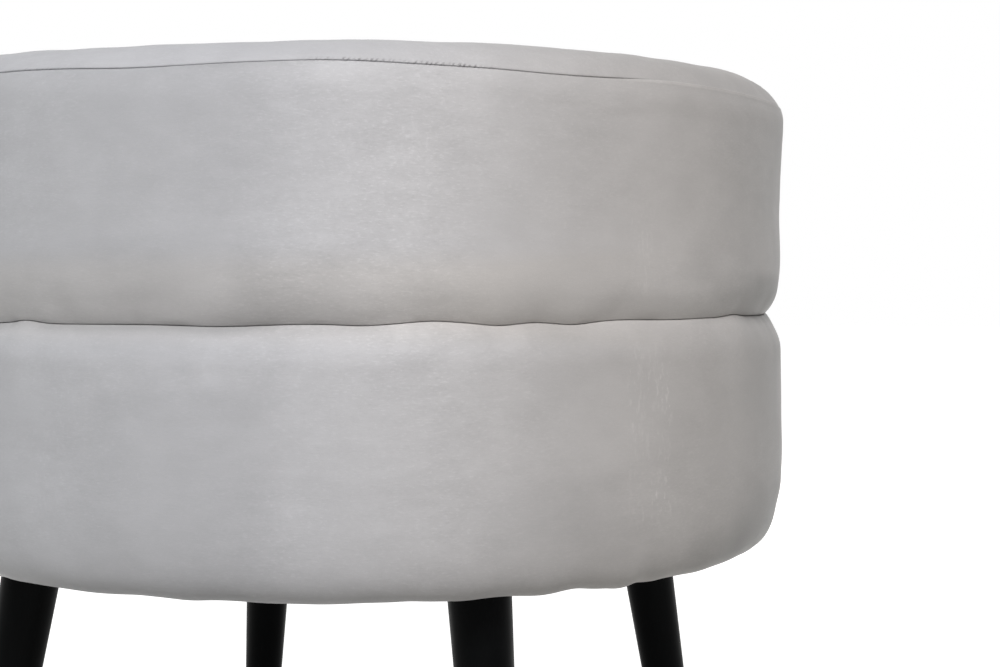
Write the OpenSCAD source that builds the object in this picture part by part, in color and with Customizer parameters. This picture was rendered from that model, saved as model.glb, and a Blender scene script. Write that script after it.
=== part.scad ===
// Round upholstered pouf: a padded drum with a drawn-in waist on four splayed, tapered legs.
// The origin is on the floor under the drum's centre, +Z is up and -Y is the front.

/* [Drum] */
// Widest diameter of the covered drum
drum_d = 500; // [440:1:560]
// Height of the padded side, from the drum's underside up to the top seam
side_h = 253; // [235:1:300]
// Height of the waist seam above the drum's underside
waist_h = 133; // [120:1:145]
// How far the waist seam is drawn in
waist_in = 10; // [6:0.5:14]
// Height over which the upper tier rounds in to the waist
waist_upper_round = 27; // [18:1:40]
// Height over which the lower tier rounds in to the waist
waist_lower_round = 21; // [14:1:32]
// Height over which the drum's lower edge rounds in
bottom_round = 71; // [50:1:85]
// Sharpness of that lower rounding, where 2 is a plain ellipse
bottom_power = 3.7; // [2.5:0.1:5]

/* [Seat] */
// Height of the crowned seat above the top seam
crown_h = 15; // [12:0.5:24]
// Part of that height that is the gentle dome across the whole seat
dome_h = 2; // [1:0.5:4]
// Width of the rolled edge of the crown
roll_w = 38; // [28:1:60]
// How far the top seam sits in from the widest diameter
seam_in = 3; // [1:0.5:6]
// Height over which the side rounds in to the top seam
seam_round = 15; // [8:1:25]
// Thickness of the seat foam at its middle
seat_foam_t = 55; // [40:1:65]

/* [Padding and cloth] */
// Thickness of the velvet cover
cover_t = 1.5; // [1:0.1:2]
// Thickness of the wadding under the cover
wadding_t = 5; // [3:0.5:6]
// Thickness of the side foam
side_foam_t = 25; // [18:1:32]
// Thickness of the pull-in strip in the waist seam
strip_t = 1; // [0.8:0.1:1.5]
// Height of the part of the strip that is stapled to the waist ring
strip_tab_h = 10; // [9:0.5:11]
// Width of cover that is turned under the base
turn_in = 50; // [44:1:60]
// Thickness of the dust cover under the base
dust_t = 1; // [0.8:0.1:1.2]
// Distance from the turned edge in to the edge of the dust cover
dust_edge = 8; // [6:0.5:12]

/* [Frame] */
// Thickness of the seat board
seat_board_t = 15; // [12:1:21]
// Thickness of the waist ring
ring_t = 15; // [14:1:21]
// Width of the waist ring
ring_w = 58; // [56:1:80]
// How far the top of the waist ring stands above the waist seam
ring_over = 3; // [2.5:0.5:3.5]
// Thickness of the base board
base_board_t = 15; // [12:1:21]
// Thickness of the hardboard skins
skin_t = 3; // [2:0.5:4]
// Side of the square leg posts
post_w = 50; // [46:1:56]
// Side of the square studs
stud_w = 30; // [24:1:36]
// Distance from the boards' edge in to the outer corners of posts and studs
post_edge = 1.5; // [1:0.5:4]

/* [Legs] */
// Height of the legs with their glides, from the floor to their top face
leg_h = 176; // [120:1:200]
// Diameter of a leg at its top
leg_top_d = 33; // [28:1:38]
// Diameter of a leg at its foot
leg_foot_d = 22; // [20:1:28]
// Outward splay of the legs in degrees
splay = 9.8; // [4:0.1:12]
// Distance from the boards' edge in to the centre of a leg's top
leg_edge = 24; // [22:0.5:30]
// Diameter of the glides
glide_d = 18; // [14:0.5:19]
// Thickness of the glides
glide_t = 5; // [4:0.5:8]
// Width of the bevel round a glide's underside
glide_bevel = 1; // [0.5:0.1:1.5]

/* [Fasteners] */
// Diameter of the hanger bolts
bolt_d = 8; // [6:1:8]
// Length of a hanger bolt inside the leg
bolt_in_leg = 35; // [25:1:45]
// Outer diameter of the threaded inserts
insert_d = 12; // [11:0.5:13]
// Length of the threaded inserts
insert_h = 20; // [15:1:25]
// Depth of an insert's lower end inside the leg post
insert_sink = 2; // [1.7:0.1:4]
// Shank diameter of the wood screws
screw_d = 4.2; // [3.5:0.1:5]
// Length of the wood screws
screw_l = 40; // [30:1:45]
// Head diameter of the wood screws
screw_head_d = 8.4; // [7.5:0.1:9.5]
// Height of the countersunk screw heads
screw_head_h = 2.6; // [2:0.1:3]
// Distance from a leg post's middle to each of its two screws
post_screw_offset = 15; // [14:0.5:17]
// Distance from an upper stud's middle to each of its two screws, which pass side by side in a short stud
stud_screw_offset = 6; // [5:0.5:7]
// Diameter of the glide nails
nail_d = 2.5; // [2:0.1:3]
// Length of the glide nails
nail_l = 20; // [14:1:26]
// Diameter of the nail heads moulded into the glides
nail_head_d = 7; // [6:0.5:9]
// Thickness of the nail heads
nail_head_t = 1; // [0.8:0.1:1.4]
// Width of a staple
staple_w = 10; // [8:0.5:12]
// Length of a staple's legs
staple_l = 9; // [7:0.5:11]
// Width of the staple wire
staple_wire_w = 1.2; // [0.9:0.1:1.4]
// Thickness of the staple wire
staple_wire_t = 0.6; // [0.5:0.1:0.7]
// Number of staples round the turned-under cover, a multiple of 8 clears the legs
cover_staple_count = 24; // [16:8:40]
// Number of staples round the dust cover, a multiple of 8 clears the legs
dust_staple_count = 16; // [16:8:32]
// Number of staples round the waist strip
strip_staple_count = 24; // [12:1:36]

/* [Clearances] */
// Gap between one curved soft layer and the next
layer_gap = 0.3; // [0.2:0.05:0.5]
// Gap between a board's edge and the skin round it
skin_gap = 0.2; // [0.1:0.05:0.4]
// Gap round a fastener in its hole
hole_gap = 0.1; // [0.05:0.01:0.2]
// Gap between the hanger bolts and the wider holes that they pass through
bolt_pass_gap = 0.5; // [0.3:0.1:1]
// Height of the skin's lower edge above the underside of the base board
skin_lift = 1; // [0.8:0.1:1.5]

/* [Hidden] */
$fn = 96;
round_fn = 32;
CORNERS = ["front_right", "back_right", "back_left", "front_left"];
SIDES = ["right", "back", "left", "front"];
UPPER_STUDS = [1:8];
quarter = 90;
first_leg_angle = -45;
upper_stud_step = 45;
upper_stud_angle = 22.5;
cover_colour = [0.80, 0.79, 0.77];
wadding_colour = [0.95, 0.95, 0.93];
foam_colour = [0.93, 0.88, 0.68];
plywood_colour = [0.80, 0.66, 0.45];
softwood_colour = [0.87, 0.73, 0.52];
hardboard_colour = [0.45, 0.32, 0.21];
leg_colour = [0.05, 0.05, 0.05];
glide_colour = [0.15, 0.15, 0.16];
steel_colour = [0.72, 0.72, 0.70];
dust_colour = [0.12, 0.12, 0.13];
strip_colour = [0.85, 0.84, 0.80];
// Cuts run past the face that they open by this much
over = 1;

// Heights
under_z = leg_h + dust_t;
seam_z = under_z + side_h;
waist_z = under_z + waist_h;
base_z = under_z + cover_t;
base_top = base_z + base_board_t;
ring_top = waist_z + ring_over;
ring_z = ring_top - ring_t;
padding_inset = cover_t + wadding_t + 2 * layer_gap;
seat_board_top = seam_z + crown_h - padding_inset - seat_foam_t;
seat_board_z = seat_board_top - seat_board_t;
strip_top = waist_z + strip_t / 2;
strip_z = waist_z - strip_t / 2;

// Radii
drum_r = drum_d / 2;
seam_r = drum_r - seam_in;
skin_r = drum_r - padding_inset - side_foam_t - layer_gap;
board_r = skin_r - skin_t - skin_gap;
under_lip = 1.5;
under_r = skin_r - under_lip;
ring_inner_r = skin_r - ring_w;
turn_r = under_r - turn_in;
dust_r = under_r - dust_edge;
cover_staple_edge = 8;
cover_staple_r = turn_r + cover_staple_edge;
dust_staple_edge = 6;
dust_staple_r = dust_r - dust_staple_edge;
strip_tab_r = skin_r + hole_gap + strip_t;
strip_staple_z = strip_z - strip_tab_h / 2;
wadding_inset = cover_t + layer_gap;
foam_r = skin_r + layer_gap;
roll_h = crown_h - dome_h;
roll_power = 4;

// Places of the posts, studs and legs
function square_centre(w) = sqrt(pow(board_r - post_edge, 2) - pow(w / 2, 2)) - w / 2;
post_r = square_centre(post_w);
stud_r = square_centre(stud_w);
leg_r = board_r - leg_edge;
foot_r = leg_r + tan(splay) * (leg_h - glide_t);
leg_axis_l = (leg_h - glide_t) / cos(splay);
leg_taper = (leg_top_d - leg_foot_d) / 2 / leg_axis_l;
function along_leg(z) = (z - leg_h) / cos(splay);
insert_start = along_leg(base_top + insert_sink);
insert_end = insert_start + insert_h;
bolt_tip_room = 6;
nail_floor = 1.5;

// Outline of the drum, or of a layer lying inset inside it, as points from the axis round to the axis
arc_steps = 10;
function steps(n) = [for (i = [0:n]) i / n];
function bottom_corner(inset) =
    let (a = drum_r - inset - under_r, b = bottom_round - inset, z = under_z + bottom_round)
    [for (t = steps(arc_steps)) let (q = t * quarter)
        [under_r + a * pow(sin(q), 2 / bottom_power), z - b * pow(cos(q), 2 / bottom_power)]];
function waist_below(inset) =
    [for (t = steps(arc_steps)) [drum_r - inset - waist_in * t * t, waist_z - waist_lower_round * (1 - t)]];
function waist_above(inset) =
    [for (t = steps(arc_steps)) [drum_r - inset - waist_in * pow(1 - t, 2), waist_z + waist_upper_round * t]];
function seam_side(inset) =
    [for (t = steps(arc_steps)) [drum_r - inset - seam_in * t * t, seam_z - seam_round * (1 - t)]];
function dome(r) = dome_h * (1 - pow(r / seam_r, 2));
function crown(inset) =
    let (w = roll_w - inset, h = roll_h - inset)
    concat(
        [for (t = steps(arc_steps)) if (t > 0) let (r = seam_r - inset - w * t)
            [r, seam_z + h * (1 - pow(1 - t, roll_power)) + dome(r)]],
        [for (t = steps(arc_steps)) if (t > 0) let (r = (seam_r - roll_w) * (1 - t))
            [r, seam_z + h + dome(r)]]);
module drum_outline(inset = 0) {
    polygon(concat(
        [[0, under_z + inset]],
        bottom_corner(inset),
        waist_below(inset),
        [for (p = waist_above(inset)) if (p[1] > waist_z) p],
        seam_side(inset),
        crown(inset)));
}

// Part of the outline plane between two heights, outside a radius
module zone(z0, z1, r0 = 0) {
    translate([r0, z0])
        square([drum_r + over - r0, z1 - z0]);
}

// One layer of the drum between two insets, two heights and outside a radius
module layer(outer, inner, z0, z1, r0 = 0) {
    rotate_extrude()
        intersection() {
            difference() {
                drum_outline(outer);
                drum_outline(inner);
            }
            zone(z0, z1, r0);
        }
}

// Solid padding inside an inset, between two heights and outside a radius
module filling(inset, z0, z1, r0 = 0) {
    rotate_extrude()
        intersection() {
            drum_outline(inset);
            zone(z0, z1, r0);
        }
}

// A ring or plate between two radii
module ring(r0, r1, h) {
    rotate_extrude()
        translate([r0, 0])
            square([r1 - r0, h]);
}

// Staple with its crown's outer face at z = 0, its legs down -Z and its width along Y
module staple(grow = 0) {
    wire_w = staple_wire_w + 2 * grow;
    crown_z = -staple_wire_t - grow;
    crown_top = grow > 0 ? over : 0;
    translate([-wire_w / 2, -staple_w / 2 - grow, crown_z])
        cube([wire_w, staple_w + 2 * grow, crown_top - crown_z]);
    for (side = [-1, 1])
        translate([-wire_w / 2, side * (staple_w - staple_wire_t) / 2 - staple_wire_t / 2 - grow, -staple_l - grow])
            cube([wire_w, staple_wire_t + 2 * grow, staple_l + grow]);
}

// Wood screw with the top of its countersunk head at z = 0, pointing down -Z
module screw(grow = 0) {
    tip_h = screw_d;
    head_top = grow > 0 ? over : 0;
    rotate_extrude($fn = round_fn)
        polygon([
            [0, head_top],
            [screw_head_d / 2 + grow, head_top],
            [screw_head_d / 2 + grow, 0],
            [screw_d / 2 + grow, -screw_head_h],
            [screw_d / 2 + grow, -screw_l + tip_h],
            [0, -screw_l - grow]]);
}

// Places that repeat
module at_each_leg() {
    for (k = [0:3])
        rotate([0, 0, first_leg_angle + quarter * k])
            children();
}
module along_each_leg() {
    at_each_leg()
        translate([leg_r, 0, leg_h])
            rotate([0, -splay, 0])
                children();
}
module at_each_side() {
    for (k = [0:3])
        rotate([0, 0, quarter * k])
            children();
}
module at_upper_screws(side) {
    for (k = UPPER_STUDS)
        rotate([0, 0, upper_stud_angle + upper_stud_step * (k - 1)])
            translate([stud_r, side * stud_screw_offset, 0])
                children();
}
module at_lower_screws() {
    at_each_leg()
        for (side = [-1, 1])
            translate([post_r, side * post_screw_offset, 0])
                children();
    at_each_side()
        translate([stud_r, 0, 0])
            children();
}
module staple_circle(count, r, z) {
    step = 360 / count;
    for (k = [0:count - 1])
        rotate([0, 0, step * (k + 0.5)])
            translate([r, 0, z])
                children();
}
module at_cover_staples() {
    staple_circle(cover_staple_count, cover_staple_r, under_z)
        rotate([180, 0, 0])
            children();
}
module at_dust_staples() {
    staple_circle(dust_staple_count, dust_staple_r, leg_h)
        rotate([180, 0, 0])
            children();
}
module at_strip_staples() {
    staple_circle(strip_staple_count, strip_tab_r, strip_staple_z)
        rotate([0, 90, 0])
            children();
}

// Cover
module cover_top_panel() {
    color(cover_colour)
        layer(0, cover_t, seam_z, seam_z + crown_h + over);
}
module cover_upper_band() {
    color(cover_colour)
        layer(0, cover_t, strip_top, seam_z);
}
module cover_lower_band() {
    color(cover_colour)
        difference() {
            layer(0, cover_t, under_z, strip_z, turn_r);
            at_cover_staples() staple(hole_gap);
            at_dust_staples() staple(hole_gap);
            along_each_leg() bolt_passage();
        }
}

// Strip sewn into the waist seam, with a tab that lies against the waist ring
module waist_pull_strip() {
    tab_z = strip_z - strip_tab_h;
    color(strip_colour)
        difference() {
            rotate_extrude()
                translate([skin_r + hole_gap, 0]) {
                    translate([0, strip_z])
                        square([drum_r - waist_in - skin_r - hole_gap, strip_t]);
                    translate([0, tab_z])
                        square([strip_t, strip_top - tab_z]);
                }
            at_strip_staples() staple(hole_gap);
        }
}

// Padding
module seat_wadding() {
    color(wadding_colour)
        layer(wadding_inset, wadding_inset + wadding_t, seam_z, seam_z + crown_h);
}
module upper_side_wadding() {
    color(wadding_colour)
        layer(wadding_inset, wadding_inset + wadding_t, strip_top, seam_z);
}
module lower_side_wadding() {
    color(wadding_colour)
        layer(wadding_inset, wadding_inset + wadding_t, under_z, strip_z, foam_r);
}
module seat_foam() {
    color(foam_colour)
        filling(padding_inset, seat_board_top, seam_z + crown_h);
}
module upper_side_foam() {
    color(foam_colour)
        filling(padding_inset, strip_top, seat_board_top, foam_r);
}
module lower_side_foam() {
    relief_h = strip_tab_h + layer_gap;
    color(foam_colour)
        rotate_extrude()
            intersection() {
                drum_outline(padding_inset);
                difference() {
                    zone(under_z, strip_z, foam_r);
                    translate([0, strip_z - relief_h])
                        square([strip_tab_r + layer_gap, relief_h + over]);
                }
            }
}

// Frame
module seat_board() {
    color(plywood_colour)
        difference() {
            translate([0, 0, seat_board_z])
                cylinder(h = seat_board_t, r = board_r);
            seat_screw_places() screw(hole_gap);
        }
}
module waist_ring() {
    color(plywood_colour)
        difference() {
            translate([0, 0, ring_z])
                ring(ring_inner_r, skin_r, ring_t);
            ring_lower_screw_places() screw(hole_gap);
            ring_upper_screw_places() screw(hole_gap);
            at_strip_staples() staple(hole_gap);
        }
}
module base_board() {
    color(plywood_colour)
        difference() {
            translate([0, 0, base_z])
                cylinder(h = base_board_t, r = board_r);
            base_screw_places() screw(hole_gap);
            at_cover_staples() staple(hole_gap);
            at_dust_staples() staple(hole_gap);
            along_each_leg() bolt_passage();
        }
}
module upper_skin() {
    color(hardboard_colour)
        translate([0, 0, ring_top])
            ring(skin_r - skin_t, skin_r, seat_board_top - ring_top);
}
module lower_skin() {
    skin_z = base_z + skin_lift;
    color(hardboard_colour)
        translate([0, 0, skin_z])
            ring(skin_r - skin_t, skin_r, ring_z - skin_z);
}
module square_post(centre, w, z0, z1) {
    translate([centre - w / 2, -w / 2, z0])
        cube([w, w, z1 - z0]);
}
module leg_post(k) {
    color(softwood_colour)
        difference() {
            rotate([0, 0, first_leg_angle + quarter * k])
                square_post(post_r, post_w, base_top, ring_z);
            base_screw_places() screw(hole_gap);
            ring_lower_screw_places() screw(hole_gap);
            along_each_leg() {
                bolt_passage();
                translate([0, 0, -over])
                    cylinder(h = insert_end + over, d = insert_d + 2 * hole_gap, $fn = round_fn);
            }
        }
}
module lower_stud(k) {
    color(softwood_colour)
        difference() {
            rotate([0, 0, quarter * k])
                square_post(stud_r, stud_w, base_top, ring_z);
            base_screw_places() screw(hole_gap);
            ring_lower_screw_places() screw(hole_gap);
        }
}
module upper_stud(k) {
    color(softwood_colour)
        difference() {
            rotate([0, 0, upper_stud_angle + upper_stud_step * (k - 1)])
                square_post(stud_r, stud_w, ring_top, seat_board_z);
            ring_upper_screw_places() screw(hole_gap);
            seat_screw_places() screw(hole_gap);
        }
}

// Screws, one row of places for each group
module base_screw_places() {
    translate([0, 0, base_z])
        at_lower_screws()
            rotate([180, 0, 0])
                children();
}
module ring_lower_screw_places() {
    translate([0, 0, ring_top])
        at_lower_screws()
            children();
}
module ring_upper_screw_places() {
    translate([0, 0, ring_z])
        at_upper_screws(-1)
            rotate([180, 0, 0])
                children();
}
module seat_screw_places() {
    translate([0, 0, seat_board_top])
        at_upper_screws(1)
            children();
}
module base_screws() {
    color(steel_colour)
        base_screw_places() screw();
}
module ring_lower_screws() {
    color(steel_colour)
        ring_lower_screw_places() screw();
}
module ring_upper_screws() {
    color(steel_colour)
        ring_upper_screw_places() screw();
}
module seat_screws() {
    color(steel_colour)
        seat_screw_places() screw();
}

// Legs, in the tilted frame of along_each_leg, where z = 0 is the centre of the leg's top face
module bolt_passage() {
    translate([0, 0, -over])
        cylinder(h = insert_end + bolt_tip_room + over, d = bolt_d + 2 * bolt_pass_gap, $fn = round_fn);
}
module hanger_bolts() {
    color(steel_colour)
        along_each_leg()
            translate([0, 0, -bolt_in_leg])
                cylinder(h = bolt_in_leg + insert_end, d = bolt_d, $fn = round_fn);
}
module threaded_inserts() {
    color(steel_colour)
        along_each_leg()
            translate([0, 0, insert_start])
                difference() {
                    cylinder(h = insert_h, d = insert_d, $fn = round_fn);
                    translate([0, 0, -over])
                        cylinder(h = insert_h + 2 * over, d = bolt_d + 2 * hole_gap, $fn = round_fn);
                }
}
module tapered_leg() {
    reach = leg_top_d;
    difference() {
        translate([leg_r, 0, leg_h])
            rotate([0, -splay, 0]) {
                translate([0, 0, -leg_axis_l - reach])
                    cylinder(
                        h = leg_axis_l + 2 * reach,
                        r1 = leg_foot_d / 2 - leg_taper * reach,
                        r2 = leg_top_d / 2 + leg_taper * reach);
            }
        translate([leg_r - 2 * reach, -2 * reach, leg_h])
            cube([4 * reach, 4 * reach, 2 * reach]);
        translate([foot_r - 2 * reach, -2 * reach, glide_t - 2 * reach])
            cube([4 * reach, 4 * reach, 2 * reach]);
    }
}
module leg(k) {
    color(leg_colour)
        rotate([0, 0, first_leg_angle + quarter * k])
            difference() {
                tapered_leg();
                translate([leg_r, 0, leg_h])
                    rotate([0, -splay, 0])
                        translate([0, 0, -bolt_in_leg - hole_gap])
                            cylinder(h = bolt_in_leg + leg_top_d, d = bolt_d + 2 * hole_gap, $fn = round_fn);
                translate([foot_r, 0, 0])
                    glide_nail(hole_gap);
            }
}

// Feet
module glide_nail(grow = 0) {
    translate([0, 0, nail_floor - grow])
        cylinder(h = nail_head_t + 2 * grow, d = nail_head_d + 2 * grow, $fn = round_fn);
    translate([0, 0, nail_floor])
        cylinder(h = nail_l + grow, d = nail_d + 2 * grow, $fn = round_fn);
}
module glide_nails() {
    color(steel_colour)
        at_each_leg()
            translate([foot_r, 0, 0])
                glide_nail();
}
module glide(k) {
    color(glide_colour)
        rotate([0, 0, first_leg_angle + quarter * k])
            translate([foot_r, 0, 0])
                difference() {
                    rotate_extrude($fn = round_fn)
                        polygon([
                            [0, 0],
                            [glide_d / 2 - glide_bevel, 0],
                            [glide_d / 2, glide_bevel],
                            [glide_d / 2, glide_t],
                            [0, glide_t]]);
                    glide_nail(hole_gap);
                }
}

// Underside
module dust_cover() {
    color(dust_colour)
        difference() {
            translate([0, 0, leg_h])
                cylinder(h = dust_t, r = dust_r);
            at_dust_staples() staple(hole_gap);
            along_each_leg()
                translate([0, 0, -leg_top_d])
                    cylinder(h = 2 * leg_top_d, d = bolt_d + 2 * bolt_pass_gap, $fn = round_fn);
        }
}
module cover_staples() {
    color(steel_colour)
        at_cover_staples() staple();
}
module dust_cover_staples() {
    color(steel_colour)
        at_dust_staples() staple();
}
module waist_strip_staples() {
    color(steel_colour)
        at_strip_staples() staple();
}

cover_top_panel();
cover_upper_band();
cover_lower_band();
waist_pull_strip();
seat_wadding();
upper_side_wadding();
lower_side_wadding();
seat_foam();
upper_side_foam();
lower_side_foam();
seat_board();
waist_ring();
base_board();
upper_skin();
lower_skin();
for (k = [0:3]) {
    leg_post(k);
    lower_stud(k);
    leg(k);
    glide(k);
}
for (k = UPPER_STUDS) {
    upper_stud(k);
}
base_screws();
ring_lower_screws();
ring_upper_screws();
seat_screws();
glide_nails();
hanger_bolts();
threaded_inserts();
dust_cover();
cover_staples();
dust_cover_staples();
waist_strip_staples();
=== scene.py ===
import math

import bpy
import numpy as np
from mathutils import Matrix, Vector


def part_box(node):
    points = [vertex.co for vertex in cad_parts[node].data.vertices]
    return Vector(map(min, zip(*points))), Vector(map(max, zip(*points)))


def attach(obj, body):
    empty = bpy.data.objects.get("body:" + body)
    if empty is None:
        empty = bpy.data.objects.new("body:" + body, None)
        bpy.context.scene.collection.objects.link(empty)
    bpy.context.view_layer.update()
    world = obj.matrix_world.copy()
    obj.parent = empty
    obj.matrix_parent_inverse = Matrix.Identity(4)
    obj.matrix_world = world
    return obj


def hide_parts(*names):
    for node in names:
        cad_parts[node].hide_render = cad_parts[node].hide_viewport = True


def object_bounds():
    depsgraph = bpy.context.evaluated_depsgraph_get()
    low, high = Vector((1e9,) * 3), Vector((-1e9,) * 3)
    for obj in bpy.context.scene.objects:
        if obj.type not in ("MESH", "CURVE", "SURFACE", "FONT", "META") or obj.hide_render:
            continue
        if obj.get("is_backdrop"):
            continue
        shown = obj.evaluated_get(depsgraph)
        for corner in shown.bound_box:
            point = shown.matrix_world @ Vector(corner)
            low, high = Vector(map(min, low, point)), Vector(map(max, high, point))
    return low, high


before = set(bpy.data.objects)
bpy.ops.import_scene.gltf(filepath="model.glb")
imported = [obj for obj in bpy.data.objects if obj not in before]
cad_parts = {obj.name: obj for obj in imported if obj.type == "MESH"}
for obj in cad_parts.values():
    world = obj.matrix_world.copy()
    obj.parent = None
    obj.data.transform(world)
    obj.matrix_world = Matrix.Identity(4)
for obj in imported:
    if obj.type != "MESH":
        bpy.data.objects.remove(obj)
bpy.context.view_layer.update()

MM = 0.001

# Sizes in metres, from the CAD frame
DRUM_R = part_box("cover_upper_band")[1].x
SEAM_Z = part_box("cover_upper_band")[1].z
SEAM_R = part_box("cover_top_panel")[1].x
TOP_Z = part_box("cover_top_panel")[1].z
UNDER_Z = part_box("cover_lower_band")[0].z
STRIP_T = 1 * MM
WAIST_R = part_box("waist_pull_strip")[1].x
WAIST_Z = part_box("waist_pull_strip")[1].z - STRIP_T / 2
STRIP_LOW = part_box("waist_pull_strip")[0].z
SKIN_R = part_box("upper_skin")[1].x
SEAT_BOARD_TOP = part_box("seat_board")[1].z
DUST_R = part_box("dust_cover")[1].x
DUST_LOW, DUST_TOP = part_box("dust_cover")[0].z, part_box("dust_cover")[1].z

# Thicknesses, clearances and curves, as in the part's source
COVER_T = 1.5 * MM
WADDING_T = 5 * MM
LAYER_GAP = 0.3 * MM
TURN_IN = 50 * MM
UNDER_LIP = 1.5 * MM
UNDER_R = SKIN_R - UNDER_LIP
FOAM_R = SKIN_R + LAYER_GAP
WADDING_INSET = COVER_T + LAYER_GAP
PADDING_INSET = COVER_T + WADDING_T + 2 * LAYER_GAP
BOTTOM_ROUND = 71 * MM
BOTTOM_POWER = 3.7
WAIST_IN = DRUM_R - WAIST_R
WAIST_UPPER = 27 * MM
WAIST_LOWER = 21 * MM
SEAM_IN = DRUM_R - SEAM_R
SEAM_ROUND = 15 * MM
DOME_H = 2 * MM
ROLL_H = TOP_Z - SEAM_Z - DOME_H
ROLL_W = 38 * MM
ROLL_POWER = 4

# The groove that shows at the waist is a little shallower than the strip's edge
GROOVE_IN = 8.2 * MM
GROOVE_UPPER = 25 * MM
GROOVE_UPPER_POWER = 2.4
GROOVE_LOWER = 20 * MM

# Inside the first radius a layer stays as the frame has it, and outside the second it is as uneven as the cloth
SOFT_FROM, SOFT_TO = 219 * MM, 231 * MM

# Columns of a cover piece and of the layers under it
COLUMNS = 1080
PAD_COLUMNS = 360
# Steps along the outlines
UPPER_STEP, LOWER_STEP, SEAT_STEP = 2.2 * MM, 2.0 * MM, 2.4 * MM
INSIDE_STEP, SEAT_PAD_STEP = 4 * MM, 5 * MM


# Outlines in the plane of radius and height
def line(a, b, n):
    t = np.linspace(0, 1, n)[:, None]
    return np.array(a) * (1 - t) + np.array(b) * t


def lengths(points):
    """How far along a chain each of its points lies."""
    return np.concatenate([[0], np.cumsum(np.linalg.norm(np.diff(points, axis=0), axis=1))])


def resample(points, step):
    """Points about step apart along a chain."""
    along = lengths(points)
    n = max(2, int(round(along[-1] / step)) + 1)
    at = np.linspace(0, along[-1], n)
    return np.stack([np.interp(at, along, points[:, k]) for k in (0, 1)], 1)


def chain(*parts):
    """Chains joined into one, with doubled points left out."""
    points = np.concatenate(parts)
    keep = np.concatenate([[True], np.linalg.norm(np.diff(points, axis=0), axis=1) > 0.02 * MM])
    return points[keep]


def dome(r):
    return DOME_H * (1 - (r / SEAM_R) ** 2)


def crown(inset=0.0, t0=0.0):
    """From the top seam over the rolled edge to the middle of the seat."""
    t = np.linspace(t0, 1, 200)
    r = SEAM_R - inset - (ROLL_W - inset) * t
    z = SEAM_Z + (ROLL_H - inset) * (1 - (1 - t) ** ROLL_POWER) + dome(r)
    r2 = np.linspace(SEAM_R - ROLL_W, 0, 200)
    return np.concatenate([np.stack([r, z], 1), np.stack([r2, SEAM_Z + ROLL_H - inset + dome(r2)], 1)[1:]])


def seam_side(inset=0.0, t1=1.0):
    t = np.linspace(0, t1, 60)
    return np.stack([DRUM_R - inset - SEAM_IN * t * t, SEAM_Z - SEAM_ROUND * (1 - t)], 1)


def waist_above(inset, depth, height, lift=0.0, power=2):
    """From the waist up."""
    t = np.linspace(0, 1, 80)
    return np.stack([DRUM_R - inset - depth * (1 - t) ** power, WAIST_Z + lift + (height - lift) * t], 1)


def waist_below(inset, depth, height, lift=0.0):
    """From below up to the waist."""
    return (waist_above(inset, depth, height, lift) * [1, -1] + [0, 2 * WAIST_Z])[::-1]


def bottom_corner(inset=0.0):
    """From the underside round and up to the side."""
    q = np.linspace(0, math.pi / 2, 400)
    r = UNDER_R + (DRUM_R - inset - UNDER_R) * np.sin(q) ** (2 / BOTTOM_POWER)
    z = UNDER_Z + BOTTOM_ROUND - (BOTTOM_ROUND - inset) * np.cos(q).clip(0) ** (2 / BOTTOM_POWER)
    return np.stack([r, z], 1)


def lip(point, lean, radius, up, n=9):
    """Rolled edge of a cover piece from point on its face to where it runs straight in. The face leans in by the
    angle lean towards its edge, and up is 1 for a lower edge and -1 for an upper one."""
    def inward(b):
        return np.stack([-np.cos(b), up * np.sin(b)], -1)
    centre = np.array(point) + radius * inward(np.array(lean))
    return centre - radius * inward(np.linspace(lean, math.pi / 2, n))


# How the padding departs from a plain round
def smooth(x, a, b):
    t = np.clip((x - a) / (b - a), 0, 1)
    return t * t * (3 - 2 * t)


WAVE_COUNT = 24


def waves(points, size, seed):
    """Soft unevenness of about the given size, from -1 to 1, the same on each run."""
    rng = np.random.default_rng(seed)
    total = np.zeros(points.shape[:-1])
    for _ in range(WAVE_COUNT):
        d = rng.normal(size=3)
        d *= 2 * math.pi / size * rng.uniform(0.6, 1.4) / np.linalg.norm(d)
        total += np.cos(points @ d + rng.uniform(0, 2 * math.pi))
    return total / math.sqrt(WAVE_COUNT)


def layered(points, layers):
    """Sum of waves from their depths, sizes and seeds."""
    return sum(depth * waves(points, size, seed) for depth, size, seed in layers)


def turned(a, b):
    """Angle from b to a in degrees, from -180 to 180."""
    return (a - b + 180) % 360 - 180


def hump(x, half):
    """1 at 0, falling softly over about half."""
    return np.exp(-(x / half) ** 2)


def bumps(az, rows):
    """Sum of soft bumps round the drum: azimuth and half width in degrees, height in mm."""
    return sum(h * MM * hump(turned(az, at), w) for at, w, h in rows)


def scattered(seed, count, widths, heights, keep=(-180, 180)):
    """Bumps scattered round the drum, kept between two azimuths."""
    rng = np.random.default_rng(seed)
    at = (np.arange(count) + rng.uniform(0, 1, count)) * 360 / count - 180
    rows = np.stack([at, rng.uniform(*widths, count), rng.uniform(*heights, count)], 1)
    return [tuple(r) for r in rows if keep[0] <= r[0] <= keep[1]]


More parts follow.
